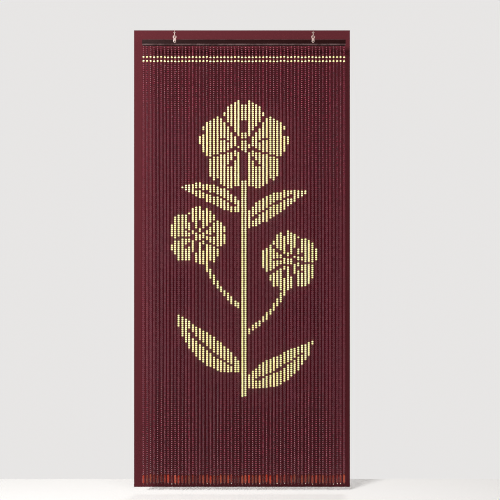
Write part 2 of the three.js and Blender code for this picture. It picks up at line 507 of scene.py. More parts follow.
@dataclass(frozen=True)
class Shoot(Motif):
    """A bowed stalk from its root to its tip."""

    root: Pair
    tip: Pair
    bend: float
    half_width: float = 11 * MM
    stations: int = 121

    def spine(self) -> tuple[np.ndarray, np.ndarray, np.ndarray]:
        """Work out the stations along the middle of the shoot.

        Returns:
            How far along each station is, from 0 to 1, and its X and Z.
        """
        reach = np.linspace(0, 1, self.stations)
        run, rise = self.tip[0] - self.root[0], self.tip[1] - self.root[1]
        bow = 4 * self.bend * reach * (1 - reach) / math.hypot(run, rise)
        return reach, self.root[0] + run * reach - rise * bow, self.root[1] + rise * reach + run * bow

    def nearest(self, xs: np.ndarray, zs: np.ndarray) -> tuple[np.ndarray, np.ndarray]:
        """Find the station nearest to each bead.

        Args:
            xs: Place of each bead across the curtain, in metres.
            zs: Height of each bead, in metres.

        Returns:
            Number of each bead's nearest station, and its distance from it.
        """
        _, spine_x, spine_z = self.spine()
        gaps = np.hypot(xs[:, None] - spine_x, zs[:, None] - spine_z)
        station = np.argmin(gaps, axis=1)
        return station, gaps[np.arange(len(xs)), station]

    def beads(self, xs: np.ndarray, zs: np.ndarray) -> np.ndarray:
        """Say which beads lie on the stalk."""
        return self.nearest(xs, zs)[1] < self.half_width


@dataclass(frozen=True)
class Leaf(Shoot):
    """A pointed leaf with a dark midrib."""

    half_width: float = 55 * MM
    stations: int = 61
    widest: float = 0.75
    roundness: float = 0.8
    rib: Pair = (0.12, 0.8)

    def beads(self, xs: np.ndarray, zs: np.ndarray) -> np.ndarray:
        """Pick the beads on the blade beside its midrib.

        Args:
            xs: Place of each bead across the curtain, in metres.
            zs: Height of each bead, in metres.

        Returns:
            True for each pale bead.
        """
        reach, spine_x, spine_z = self.spine()
        station, gap = self.nearest(xs, zs)
        run, rise = np.gradient(spine_x)[station], np.gradient(spine_z)[station]
        length = np.hypot(run, rise)
        at = reach[station]
        blade = gap < self.half_width * np.sin(math.pi * at**self.widest) ** self.roundness
        rib = (gap < self.half_line(rise / length, run / length)) & (at > self.rib[0]) & (at < self.rib[1])
        return blade & (at > 0) & (at < 1) & ~rib


@dataclass(frozen=True)
class FlowerDesign:
    """The pale design: two border rows and an upright spray of three flowers."""

    border_rows: tuple[int, int] = (5, 7)
    motifs: tuple[Motif, ...] = (
        Shoot((0.0, -1.6), (0.0, -0.66), 0.0, 13 * MM),
        Shoot((-0.01, -1.22), (-0.19, -0.97), 25 * MM),
        Shoot((-0.01, -1.34), (0.20, -1.09), -30 * MM),
        Blossom(0.0, -0.5, 0.205),
        Blossom(-0.205, -0.9, 0.135, 0.2),
        Blossom(0.205, -1.01, 0.135, -0.2),
        Leaf((0.0, -0.86), (0.285, -0.7), 25 * MM, 48 * MM),
        Leaf((-0.01, -0.79), (-0.285, -0.68), -25 * MM, 42 * MM),
        Leaf((-0.01, -1.49), (-0.3, -1.24), 30 * MM, 60 * MM),
        Leaf((0.0, -1.55), (0.31, -1.36), -30 * MM, 60 * MM),
    )

    def chart(self, xs: np.ndarray, zs: np.ndarray, rows: np.ndarray) -> np.ndarray:
        """Say which beads are pale.

        Args:
            xs: Place of each bead across the curtain, in metres.
            zs: Height of each bead, in metres.
            rows: Number of each bead on its string, from 0 at the top.

        Returns:
            True for each pale bead.
        """
        pale = np.isin(rows, self.border_rows)
        for motif in self.motifs:
            pale |= motif.beads(xs, zs)
        return pale


def ball(radius: float, height: float, rings: int = 4) -> Profile:
    """Work out the profile of a ball of a few rings.

    Args:
        radius: Radius at its middle, in metres.
        height: Height from pole to pole, in metres.
        rings: Number of rings between the poles.

    Returns:
        Radius and height of each ring.
    """
    turns = [math.pi * (ring / (rings + 1) - 0.5) for ring in range(rings + 2)]
    profile = [(radius * math.cos(turn), height / 2 * math.sin(turn)) for turn in turns]
    return [(0, profile[0][1]), *profile[1:-1], (0, profile[-1][1])]


def barrel(length: float) -> Profile:
    """Work out the profile of a long bead: a slight barrel with rounded rims and a hollow at each hole.

    Args:
        length: Length of the bead, in metres.

    Returns:
        Radius and height of each ring.
    """
    half = length / 2
    upper = [
        (4.6 * MM, 0.25 * half),
        (4.45 * MM, 0.6 * half),
        (4.1 * MM, half - 3 * MM),
        (3.4 * MM, half - 1.1 * MM),
        (2.3 * MM, half - 0.2 * MM),
        (1.3 * MM, half - 0.4 * MM),
        (0, half - 1.6 * MM),
    ]
    return [(radius, -height) for radius, height in reversed(upper)] + upper


@dataclass(frozen=True)
class BeadForm:
    """A turned form that is threaded many times over."""

    name: str
    profile: Profile
    sides: int = 8

    def build(self) -> Object:
        """Make the form about its middle, with the height along itself stored from -1 to 1.

        Returns:
            The form as an object.
        """
        work = bmesh.new()
        revolve(work, self.profile, self.sides, lambda x, y, z: Vector((x, y, z)))
        mesh = mesh_from(self.name, work)
        top = max(height for _, height in self.profile)
        alongs = [vertex.co.z / top for vertex in mesh.vertices]
        mesh.attributes.new("along", "FLOAT", "POINT").data.foreach_set("value", alongs)
        return new_piece(self.name, mesh)


@dataclass(frozen=True)
class Batch:
    """Beads of one form and finish that make one piece, with a tone from 0 to 1 for each."""

    name: str
    finish: str
    form: BeadForm
    points: list[Point]
    tones: list[float]
    tilt_spread: float
    size_spread: float = 0.02
    seed: int = RANDOM_SEED


class Threader:
    """A Geometry Nodes tree that sets one form of bead on every threading point."""

    INPUTS = {
        "Points": ("Geometry", None),
        "Bead form": ("Object", None),
        "Finish": ("Material", None),
        "Size spread": ("Float", 0.03),
        "Tilt spread": ("Float", 0.05),
        "Seed": ("Int", RANDOM_SEED),
    }

    def __init__(self) -> None:
        """Build the tree once for all kinds of bead."""
        wiring, source = new_group("bead_threader", "Geometry", self.INPUTS, {"Beads": "Geometry"})
        self.tree = wiring.tree
        spread, tilt, seed = source["Size spread"], source["Tilt spread"], source["Seed"]
        form = wiring.add("GeometryNodeObjectInfo", {"Object": source["Bead form"]})
        size = wiring.scatter(wiring.math("SUBTRACT", 1.0, spread), wiring.math("ADD", 1.0, spread), seed)
        lowest = wiring.math("MULTIPLY", tilt, -1.0)
        low = wiring.add("ShaderNodeCombineXYZ", {0: lowest, 1: lowest, 2: 0.0}).outputs[0]
        high = wiring.add("ShaderNodeCombineXYZ", {0: tilt, 1: tilt, 2: math.tau}).outputs[0]
        turns = {0: low, 1: high, "Seed": seed}
        turn = wiring.add("FunctionNodeRandomValue", turns, data_type="FLOAT_VECTOR")
        rotation = wiring.add("FunctionNodeEulerToRotation", {0: turn.outputs[0]})
        setting = {
            "Points": source["Points"],
            "Instance": form.outputs["Geometry"],
            "Rotation": rotation.outputs[0],
            "Scale": size,
        }
        beads = wiring.add("GeometryNodeInstanceOnPoints", setting)
        tone = {"Geometry": beads.outputs[0], "Name": "tone", "Value": wiring.scatter(*UNIT, seed)}
        toned = wiring.add("GeometryNodeStoreNamedAttribute", tone, data_type="FLOAT", domain="INSTANCE")
        wiring.put_out(toned.outputs[0], source["Finish"], "Beads")

    def thread(self, batch: Batch, material: Material) -> Object:
        """Set a batch of beads on its points.

        Args:
            batch: The beads to thread.
            material: The material of their finish.

        Returns:
            The beads as one plain mesh.
        """
        mesh = bpy.data.meshes.new(batch.name)
        mesh.from_pydata(batch.points, [], [])
        mesh.attributes.new("string_tone", "FLOAT", "POINT").data.foreach_set("value", batch.tones)
        piece = new_piece(batch.name, mesh)
        form = batch.form.build()
        values = {
            "Bead form": form,
            "Finish": material,
            "Size spread": batch.size_spread,
            "Tilt spread": batch.tilt_spread,
            "Seed": batch.seed,
        }
        run_tree(piece, self.tree, values)
        bpy.data.objects.remove(form)
        return piece


class CordLayer:
    """A Geometry Nodes tree that lays a round cord along every line of a mesh."""

    INPUTS = {
        "Lines": ("Geometry", None),
        "Finish": ("Material", None),
        "Cord radius": ("Float", 0.5 * MM),
        "Sides": ("Int", 6),
    }

    def __init__(self) -> None:
        """Build the tree."""
        wiring, source = new_group("cord_layer", "Geometry", self.INPUTS, {"Cords": "Geometry"})
        self.tree = wiring.tree
        lines = wiring.add("GeometryNodeMeshToCurve", {"Mesh": source["Lines"]})
        circle = {"Resolution": source["Sides"], "Radius": source["Cord radius"]}
        section = wiring.add("GeometryNodeCurvePrimitiveCircle", circle)
        sweep = {"Curve": lines.outputs[0], "Profile Curve": section.outputs[0], "Fill Caps": True}
        cords = wiring.add("GeometryNodeCurveToMesh", sweep)
        wiring.put_out(cords.outputs[0], source["Finish"], "Cords")


@cache
def dipped_coat() -> NodeTree:
    """Build the group for the uneven tone, thin spots and slight dents of a hand-dipped coat.

    Returns:
        A group that puts out a colour, a roughness and a height.
    """
    inputs = {
        "Deep": ("Color", (0.1, 0.01, 0.02, 1)),
        "Bright": ("Color", (0.3, 0.03, 0.05, 1)),
        "Scale": ("Float", 400.0),
        "Least roughness": ("Float", 0.15),
        "Most roughness": ("Float", 0.35),
        "Tone": ("Float", 0.5),
    }
    outputs = {"Colour": "Color", "Roughness": "Float", "Height": "Float"}
    wiring, source = new_group("dipped_coat", "Shader", inputs, outputs)
    place = wiring.place()
    dents_scale = wiring.math("MULTIPLY", source["Scale"], DENT_FINENESS)
    blotches = wiring.noise(place, {"Scale": source["Scale"], "Detail": 3.0})
    dents = wiring.noise(place, {"Scale": dents_scale, "Detail": 2.0})
    blotch = wiring.remap(blotches, NOISE_SPAN, BLOTCH_SHIFT)
    share = wiring.remap(wiring.math("ADD", source["Tone"], blotch), UNIT)
    span = wiring.math("SUBTRACT", source["Most roughness"], source["Least roughness"])
    extra = wiring.math("MULTIPLY", wiring.remap(dents, NOISE_SPAN), span)
    results = {
        "Colour": wiring.mix(share, source["Deep"], source["Bright"]),
        "Roughness": wiring.math("ADD", source["Least roughness"], extra),
        "Height": dents,
    }
    wiring.add("NodeGroupOutput", results)
    return wiring.tree


@cache
def wood_grain() -> NodeTree:
    """Build the group for wood grain: long fibres, darker growth bands and open pores.

    Returns:
        A group that puts out a colour, a mask of the pores and a height.
    """
    inputs = {
        "Place": ("Vector", (0, 0, 0)),
        "Fibre stretch": ("Vector", (8, 260, 260)),
        "Dark": ("Color", (0.02, 0.01, 0.01, 1)),
        "Light": ("Color", (0.08, 0.05, 0.05, 1)),
        "Band contrast": ("Float", 0.5),
    }
    outputs = {"Colour": "Color", "Pores": "Float", "Height": "Float"}
    wiring, source = new_group("wood_grain", "Shader", inputs, outputs)
    stretch = {0: source["Place"], 1: source["Fibre stretch"]}
    stretched = wiring.add("ShaderNodeVectorMath", stretch, operation="MULTIPLY").outputs[0]
    fibres = wiring.noise(stretched, {"Scale": 4.0, "Detail": 6.0, "Roughness": 0.65})
    bands = wiring.noise(stretched, {"Scale": 0.7, "Detail": 2.0, "Distortion": 0.6})
    pores = wiring.noise(stretched, {"Scale": 11.0, "Detail": 1.0})
    fibre = wiring.remap(fibres, FIBRE_SPAN)
    band = wiring.remap(bands, BAND_SPAN)
    pore = wiring.remap(pores, PORE_SPAN)
    banded = wiring.math("MULTIPLY", band, source["Band contrast"])
    less_fibre = wiring.math("SUBTRACT", 1.0, source["Band contrast"])
    share = wiring.math("ADD", banded, wiring.math("MULTIPLY", fibre, less_fibre))
    coloured = wiring.mix(share, source["Dark"], source["Light"])
    depth = wiring.math("MULTIPLY", pore, PORE_DEPTH)
    results = {
        "Colour": wiring.mix(depth, coloured, source["Dark"]),
        "Pores": pore,
        "Height": wiring.math("SUBTRACT", fibre, pore),
    }
    wiring.add("NodeGroupOutput", results)
    return wiring.tree


@dataclass(frozen=True)
class Finish:
    """A finish, as one node material for one of the record's slots."""

    name: str
    slot: str

    def material(self) -> Material:
        """Build the material from a Principled BSDF with this finish's sockets.

        Returns:
            The finished material.
        """
        material = bpy.data.materials.new(self.name)
        wiring = bare_wiring(material)
        shader = wiring.add("ShaderNodeBsdfPrincipled", self.sockets(wiring))
        wiring.add("ShaderNodeOutputMaterial", {"Surface": shader.outputs[0]})
        return material

    def sockets(self, wiring: Wiring) -> Sockets:
        """Work out the value or source of each socket of the shader, in the wiring of its material."""
        raise NotImplementedError


@dataclass(frozen=True)
class DippedLacquer(Finish):
    """Glossy lacquer on a small round bead, different from bead to bead, and darker towards the hole: partly
    pooled lacquer and partly painted shade where each bead touches the next.
    """

    deep: Colour
    bright: Colour
    # Colour of the painted shade towards the hole, where the beads touch, with a little pooled lacquer in
    # it.
    hole: Colour
    bead_spread: float = 0.5
    string_spread: float = 0.4
    hole_shade_span: Pair = (0.35, 0.95)
    hole_shade_depth: float = 0.9
    roughness: Pair = (0.24, 0.42)
    specular_tint: Colour = WHITE
    coat: float = 0.6
    coat_roughness: float = 0.34
    coat_ior: float = 1.55
    dents: Pair = (0.25, 0.05 * MM)

    def sockets(self, wiring: Wiring) -> Sockets:
        """Work out the sockets from the bead's tone, its string's tone and a painted shade that darkens it
        towards its hole, where it touches the next bead.

        Args:
            wiring: The wiring of the material.

        Returns:
            Value or source of each socket.
        """
        bead = wiring.math("MULTIPLY", wiring.attribute("tone"), self.bead_spread)
        string = wiring.math("MULTIPLY", wiring.attribute("string_tone"), self.string_spread)
        coating = {
            "Deep": self.deep,
            "Bright": self.bright,
            "Least roughness": self.roughness[0],
            "Most roughness": self.roughness[1],
            "Tone": wiring.math("ADD", bead, string),
        }
        coat = wiring.group(dipped_coat(), coating)
        # Painted shade: from partway out to the hole, where the bead meets the next one, the bead is mixed
        # towards the hole colour.
        along = wiring.math("ABSOLUTE", wiring.attribute("along"))
        near_hole_shade = wiring.remap(along, self.hole_shade_span, (0.0, self.hole_shade_depth))
        return {
            "Base Color": wiring.mix(near_hole_shade, coat["Colour"], self.hole),
            "Roughness": coat["Roughness"],
            "Specular Tint": self.specular_tint,
            "Coat Weight": self.coat,
            "Coat IOR": self.coat_ior,
            "Coat Roughness": self.coat_roughness,
            "Normal": wiring.bump(coat["Height"], *self.dents),
        }


@dataclass(frozen=True)
class StainedTube(Finish):
    """Translucent reddish stain on a turned wooden tube, each tube in its own shade."""

    shades: tuple[tuple[float, Colour], ...]
    end_shade: Colour
    end_span: Pair = (0.88, 1.0)
    end_depth: float = 0.8
    grain_shade: Colour = (0.42, 0.36, 0.34, 1)
    grain_stretch: Point = (330, 330, 14)
    grain_bands: float = 0.35
    roughness: Pair = (0.22, 0.4)
    specular: float = 0.3
    coat: float = 0.12
    coat_roughness: float = 0.16
    pores: Pair = (0.2, 0.08 * MM)

    def sockets(self, wiring: Wiring) -> Sockets:
        """Work out the sockets from a ramp over the tubes' tones, darkened along the grain and at the ends.

        Args:
            wiring: The wiring of the material.

        Returns:
            Value or source of each socket.
        """
        ramp = wiring.add("ShaderNodeValToRGB", {"Fac": wiring.attribute("tone")})
        elements = ramp.color_ramp.elements
        while len(elements) < len(self.shades):
            elements.new(0.5)
        for element, (position, shade) in zip(elements, self.shades):
            element.position = position
            element.color = shade
        graining = {
            "Place": wiring.place(),
            "Fibre stretch": self.grain_stretch,
            "Band contrast": self.grain_bands,
            "Dark": self.grain_shade,
            "Light": WHITE,
        }
        grain = wiring.group(wood_grain(), graining)
        grained = wiring.mix(1.0, ramp.outputs[0], grain["Colour"], "MULTIPLY")
        along = wiring.math("ABSOLUTE", wiring.attribute("along"))
        at_end = wiring.remap(along, self.end_span, (0.0, self.end_depth))
        return {
            "Base Color": wiring.mix(at_end, grained, self.end_shade),
            "Roughness": wiring.remap(grain["Pores"], UNIT, self.roughness),
            "Specular IOR Level": self.specular,
            "Coat Weight": self.coat,
            "Coat Roughness": self.coat_roughness,
            "Normal": wiring.bump(grain["Height"], *self.pores),
        }


@dataclass(frozen=True)
class StainedWood(Finish):
    """Dark stain over straight-grained wood, lighter along the eased edges: partly abrasion and partly a
    painted highlight where the edges catch the light.
    """

    dark: Colour = (0.008, 0.0015, 0.0015, 1)
    light: Colour = (0.018, 0.0045, 0.0045, 1)
    # Lighter colour of the edges, partly abrasion and partly painted highlight.
    edge_wear_and_highlight: Colour = (0.12, 0.075, 0.075, 1)
    grain_stretch: Point = (9, 230, 230)
    edge_slope: Pair = (0.15, 0.4)
    patch_scale: float = 30.0
    patch_span: Pair = (0.35, 0.6)
    wear_and_highlight_strength: Pair = (0.25, 0.8)
    roughness: Pair = (0.34, 0.55)
    specular: float = 0.05
    pores: Pair = (0.35, 0.2 * MM)

    def sockets(self, wiring: Wiring) -> Sockets:
        """Work out the sockets, with the grain along X and a lighter band in patches on the slanted faces of
        the eased edges, partly abrasion and partly painted highlight.

        Args:
            wiring: The wiring of the material.

        Returns:
            Value or source of each socket.
        """
        place = wiring.place()
        graining = {
            "Place": place,
            "Fibre stretch": self.grain_stretch,
            "Dark": self.dark,
            "Light": self.light,
        }
        grain = wiring.group(wood_grain(), graining)
        normal = wiring.add("ShaderNodeNewGeometry").outputs["True Normal"]
        facing = wiring.add("ShaderNodeSeparateXYZ", {0: normal}).outputs
        # Painted highlight, partly abrasion: faces that slant between front or back and top or bottom, along
        # the eased edges, are lightened in noisy patches.
        slope = wiring.math("ABSOLUTE", wiring.math("MULTIPLY", facing["Y"], facing["Z"]))
        patches = wiring.noise(place, {"Scale": self.patch_scale, "Detail": 3.0})
        wear_and_highlight_strength = wiring.remap(patches, self.patch_span, self.wear_and_highlight_strength)
        edge_wear_and_highlight_share = wiring.math("MULTIPLY", wiring.remap(slope, self.edge_slope), wear_and_highlight_strength)
        return {
            "Base Color": wiring.mix(edge_wear_and_highlight_share, grain["Colour"], self.edge_wear_and_highlight),
            "Roughness": wiring.remap(grain["Pores"], UNIT, self.roughness),
            "Specular IOR Level": self.specular,
            "Normal": wiring.bump(grain["Height"], *self.pores),
        }


@dataclass(frozen=True)
class TwistedThread(Finish):
    """Dark thread twisted from plies, which show as slanting ridges."""

    light: Colour = (0.10, 0.03, 0.03, 1)
    dark: Colour = (0.02, 0.006, 0.006, 1)
    ply_scale: float = 420.0
    ply_waver: float = 1.5
    fuzz_scale: float = 2500.0
    roughness: Pair = (0.7, 0.95)
    sheen: float = 0.3
    ridges: Pair = (0.5, 0.15 * MM)

    def sockets(self, wiring: Wiring) -> Sockets:
        """Work out the sockets from slanting bands of plies and the fuzz between them.

        Args:
            wiring: The wiring of the material.

        Returns:
            Value or source of each socket.
        """
        place = wiring.place()
        bands = {"Vector": place, "Scale": self.ply_scale, "Distortion": self.ply_waver, "Detail": 1.0}
        plies = wiring.add("ShaderNodeTexWave", bands, bands_direction="DIAGONAL").outputs["Fac"]
        fuzz = wiring.noise(place, {"Scale": self.fuzz_scale, "Detail": 2.0})
        return {
            "Base Color": wiring.mix(plies, self.dark, self.light),
            "Roughness": wiring.remap(fuzz, NOISE_SPAN, self.roughness),
            "Sheen Weight": self.sheen,
            "Normal": wiring.bump(plies, *self.ridges),
        }


@dataclass(frozen=True)
class HangerMetal(Finish):
    """Painted or plated metal with handling marks and dull edges."""

    clean: Colour
    soiled: Colour
    metal: float
    roughness: Pair
    coat: float
    tone: float = 0.72
    mark_scale: float = 260.0
    scuff_scale: float = 700.0
    scuff_width: float = 0.03
    scuff_depth: float = 0.35
    dents: Pair = (0.15, 0.08 * MM)

    def sockets(self, wiring: Wiring) -> Sockets:
        """Work out the sockets from two scales of marks.

        Args:
            wiring: The wiring of the material.

        Returns:
            Value or source of each socket.
        """
        coating = {
            "Deep": self.soiled,
            "Bright": self.clean,
            "Scale": self.mark_scale,
            "Tone": self.tone,
            "Least roughness": self.roughness[0],
            "Most roughness": self.roughness[1],
        }
        coat = wiring.group(dipped_coat(), coating)
        cells = {"Vector": wiring.place(), "Scale": self.scuff_scale}
        scuffs = wiring.add("ShaderNodeTexVoronoi", cells, feature="DISTANCE_TO_EDGE").outputs["Distance"]
        scuffed = wiring.remap(scuffs, (0.0, self.scuff_width), (self.scuff_depth, 0.0))
        return {
            "Base Color": wiring.mix(scuffed, coat["Colour"], self.soiled),
            "Roughness": coat["Roughness"],
            "Metallic": self.metal,
            "Coat Weight": self.coat,
            "Normal": wiring.bump(coat["Height"], *self.dents),
        }


FINISHES: tuple[Finish, ...] = (
    DippedLacquer(
        "red_lacquer",
        "red_beads",
        deep=(0.058, 0.003, 0.010, 1),
        bright=(0.240, 0.006, 0.031, 1),
        # Painted shade over most of each red bead: it is dark from close to its middle out to the hole, so
        # the beads show apart.
        hole=(0.012, 0.002, 0.004, 1),
        hole_shade_span=(0.05, 0.78),
        hole_shade_depth=0.95,
        specular_tint=(1, 0.5, 0.55, 1),
    ),
    DippedLacquer(
        "pale_lacquer",
        "pale_beads",
        deep=(0.92, 0.86, 0.36, 1),
        bright=(0.96, 0.94, 0.54, 1),
        # Painted shade towards the hole of each pale bead, where it touches the next.
        hole=(0.25, 0.17, 0.05, 1),
        bead_spread=0.6,
    ),
    StainedTube(
        "stained_stops",
        "end_beads",
        shades=(
            (0.0, (0.05, 0.008, 0.008, 1)),
            (0.35, (0.16, 0.035, 0.020, 1)),
            (0.6, (0.08, 0.015, 0.012, 1)),
            (0.76, (0.22, 0.09, 0.05, 1)),
            (0.84, (0.74, 0.62, 0.50, 1)),
            (1.0, (0.84, 0.78, 0.70, 1)),
        ),
        end_shade=(0.04, 0.012, 0.008, 1),
    ),
    StainedTube(
        "stained_tubes",
        "end_beads",
        shades=(
            (0.0, (0.09, 0.006, 0.008, 1)),
            (0.22, (0.21, 0.018, 0.008, 1)),
            (0.42, (0.49, 0.038, 0.010, 1)),
            (0.62, (0.16, 0.034, 0.016, 1)),
            (0.8, (0.45, 0.068, 0.030, 1)),
            (1.0, (0.15, 0.011, 0.014, 1)),
        ),
        end_shade=(0.05, 0.012, 0.008, 1),
    ),
    StainedWood("dark_stained_wood", "stained_wood"),
    TwistedThread("bead_cord", "bead_cord"),
    HangerMetal(
        "pale_enamel",
        "pale_enamel",
        clean=(0.39, 0.28, 0.25, 1),
        soiled=(0.24, 0.15, 0.13, 1),
        metal=0.0,
        roughness=(0.22, 0.4),
        coat=0.4,
    ),
    HangerMetal(
        "dark_steel",
        "dark_steel",
        clean=(0.06, 0.055, 0.05, 1),
        soiled=(0.022, 0.018, 0.018, 1),
        metal=0.9,
        roughness=(0.3, 0.5),
        coat=0.0,
    ),
)


class Wardrobe:
    """The built finishes, which dress pieces and fasten them to the frame."""

    def __init__(self) -> None:
        """Build every finish's material."""
        self.materials = {finish.name: finish.material() for finish in FINISHES}
        self.slots = {finish.name: finish.slot for finish in FINISHES}

    def dress(self, mesh: Mesh, finish: str) -> None:
        """Give a mesh one finish alone."""
        mesh.materials.clear()
        mesh.materials.append(self.materials[finish])

    def settle(self, piece: Object, finish: str, *nodes: str) -> None:
        """Dress a piece, fasten it to the frame and report it.

        Args:
            piece: The piece, at the origin.
            finish: Name of its finish.
            nodes: Names of the solids that it stands for.
        """
        self.dress(piece.data, finish)
        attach(piece, BODY)
        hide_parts(*nodes)
        triangles = sum(len(face.vertices) - 2 for face in piece.data.polygons)
        LOG.info("%s: %d triangles", piece.name, triangles)


@dataclass
class BeadCurtain:
    """All that hangs in the rail's groove: the strip, cords, beads, end beads, stop beads and knots."""

    wardrobe: Wardrobe
    layout: StringLayout = field(default_factory=StringLayout)
    design: FlowerDesign = field(default_factory=FlowerDesign)
    round_form: BeadForm = BeadForm("round_bead_form", ball(4.8 * MM, 8.85 * MM))
    end_form: BeadForm = BeadForm("end_bead_form", barrel(END_LENGTH), sides=12)
    stop_form: BeadForm = BeadForm("stop_bead_form", ball(2.6 * MM, STOP_HEIGHT))
    knot_form: BeadForm = BeadForm("knot_form", ball(1.5 * MM, 2.4 * MM, rings=2), sides=6)
    threader: Threader = field(default_factory=Threader)
    red_panels: int = 5
    jitter: float = 0.25 * MM
    round_tilt: float = 0.06
    end_tilt: float = 0.012
    stop_tilt: float = 0.05
    knot_tilt: float = 0.2
    cord_radius: float = 0.55 * MM
    cord_stations: int = 8
    knot_drop: float = 0.6 * MM
    strip_length: float = 899 * MM
    strip_depth: float = 11 * MM
    strip_ease: float = 0.5 * MM

    def bead_places(self) -> tuple[np.ndarray, np.ndarray, np.ndarray]:
        """Work out where every round bead hangs.

        Returns:
            The string of each bead, its number on the string, and its middle.
        """
        strings, numbers, middles = [], [], []
        for string in range(self.layout.count):
            step = self.layout.bead_step(string)
            for number in range(self.layout.beads):
                height = self.layout.column_top(string) - (number + 0.5) * step
                strings.append(string)
                numbers.append(number)
                middles.append(self.layout.place(string, height))
        return np.array(strings), np.array(numbers), np.array(middles)

    def string_tones(self, strings: Sequence[int]) -> list[float]:
        """Return the tone from 0 to 1 of each string in a list."""
        return [(self.layout.share(int(string), Trait.TONE) + 1) / 2 for string in strings]

    def thread(self, batch: Batch) -> None:
        """Thread a batch of beads and fasten it to the frame as one piece."""
        piece = self.threader.thread(batch, self.wardrobe.materials[batch.finish])
        self.wardrobe.settle(piece, batch.finish, "strings")

    def build_round_beads(self) -> None:
        """Thread the round beads, the red ones in panels of strings and the pale ones in one piece."""
        strings, numbers, middles = self.bead_places()
        pale = self.design.chart(middles[:, 0], middles[:, 2], numbers)
        nudge = np.random.default_rng(RANDOM_SEED).uniform(-self.jitter, self.jitter, (len(strings), 2))
        middles[:, :2] += nudge
        panels = strings * self.red_panels // self.layout.count
        groups = []
        for panel in range(self.red_panels):
            groups.append((BeadKind.RED, f"_{panel + 1}", ~pale & (panels == panel)))
        groups.append((BeadKind.PALE, "", pale))
        for index, (kind, number, chosen) in enumerate(groups):
            batch = Batch(
                name=f"{kind.value}_beads{number}",
                finish=f"{kind.value}_lacquer",
                form=self.round_form,
                points=middles[chosen].tolist(),
                tones=self.string_tones(strings[chosen]),
                tilt_spread=self.round_tilt,
                seed=RANDOM_SEED + index,
            )
            self.thread(batch)

    def build_ends(self) -> None:
        """Thread an end bead and a stop bead on each string, with a knot under them."""
        layout = self.layout
        strings = range(layout.count)
        tones = self.string_tones(strings)
        ends = [layout.end_top(s) - layout.end_length / 2 for s in strings]
        stops = [layout.stop_top(s) - STOP_HEIGHT / 2 for s in strings]
        knots = [layout.stop_top(s) - STOP_HEIGHT - self.knot_drop for s in strings]
        rows = (
            ("end_beads", "stained_tubes", self.end_form, ends, self.end_tilt),
            ("stop_beads", "stained_stops", self.stop_form, stops, self.stop_tilt),
            ("end_knots", "bead_cord", self.knot_form, knots, self.knot_tilt),
        )
        for name, finish, form, heights, tilt in rows:
            points = [layout.place(string, height) for string, height in zip(strings, heights)]
            self.thread(Batch(name, finish, form, points, tones, tilt))

    def build_cords(self) -> None:
        """Lay each string's cord from inside the strip down to its knot."""
        layout = self.layout
        points, lines = [], []
        for string in range(layout.count):
            top = layout.strip_bottom + layout.strip_thickness / 2
            foot = layout.stop_top(string) - STOP_HEIGHT
            below = np.linspace(layout.column_top(string), foot, self.cord_stations)
            for index, height in enumerate([top, layout.strip_bottom, *below]):
                if index:
                    lines.append((len(points) - 1, len(points)))
                points.append(layout.place(string, float(height)))
        mesh = bpy.data.meshes.new("string_cords")
        mesh.from_pydata(points, lines, [])
        piece = new_piece("string_cords", mesh)
        values = {"Finish": self.wardrobe.materials["bead_cord"], "Cord radius": self.cord_radius}
        run_tree(piece, CordLayer().tree, values)
        self.wardrobe.settle(piece, "bead_cord", "strings")

    def build_strip(self) -> None:
        """Build the strip in the rail's groove, with eased edges."""
        low, high = (Vector(corner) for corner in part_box("strings"))
        thickness = self.layout.strip_thickness
        work = bmesh.new()
        middle = ((low.x + high.x) / 2, self.layout.middle_y, high.z - thickness / 2)
        add_block(work, (self.strip_length, self.strip_depth, thickness), middle)
        round_edges = {"offset": self.strip_ease, "segments": 2, "affect": "EDGES", "profile": 0.5}
        bmesh.ops.bevel(work, geom=work.edges[:], **round_edges)
        piece = new_piece("string_strip", mesh_from("string_strip", work, smooth=False))
        self.wardrobe.settle(piece, "dark_stained_wood", "strings")

    def build(self) -> None:
        """Build everything that hangs in the rail's groove."""
        self.build_strip()
        self.build_cords()
        self.build_round_beads()
        self.build_ends()


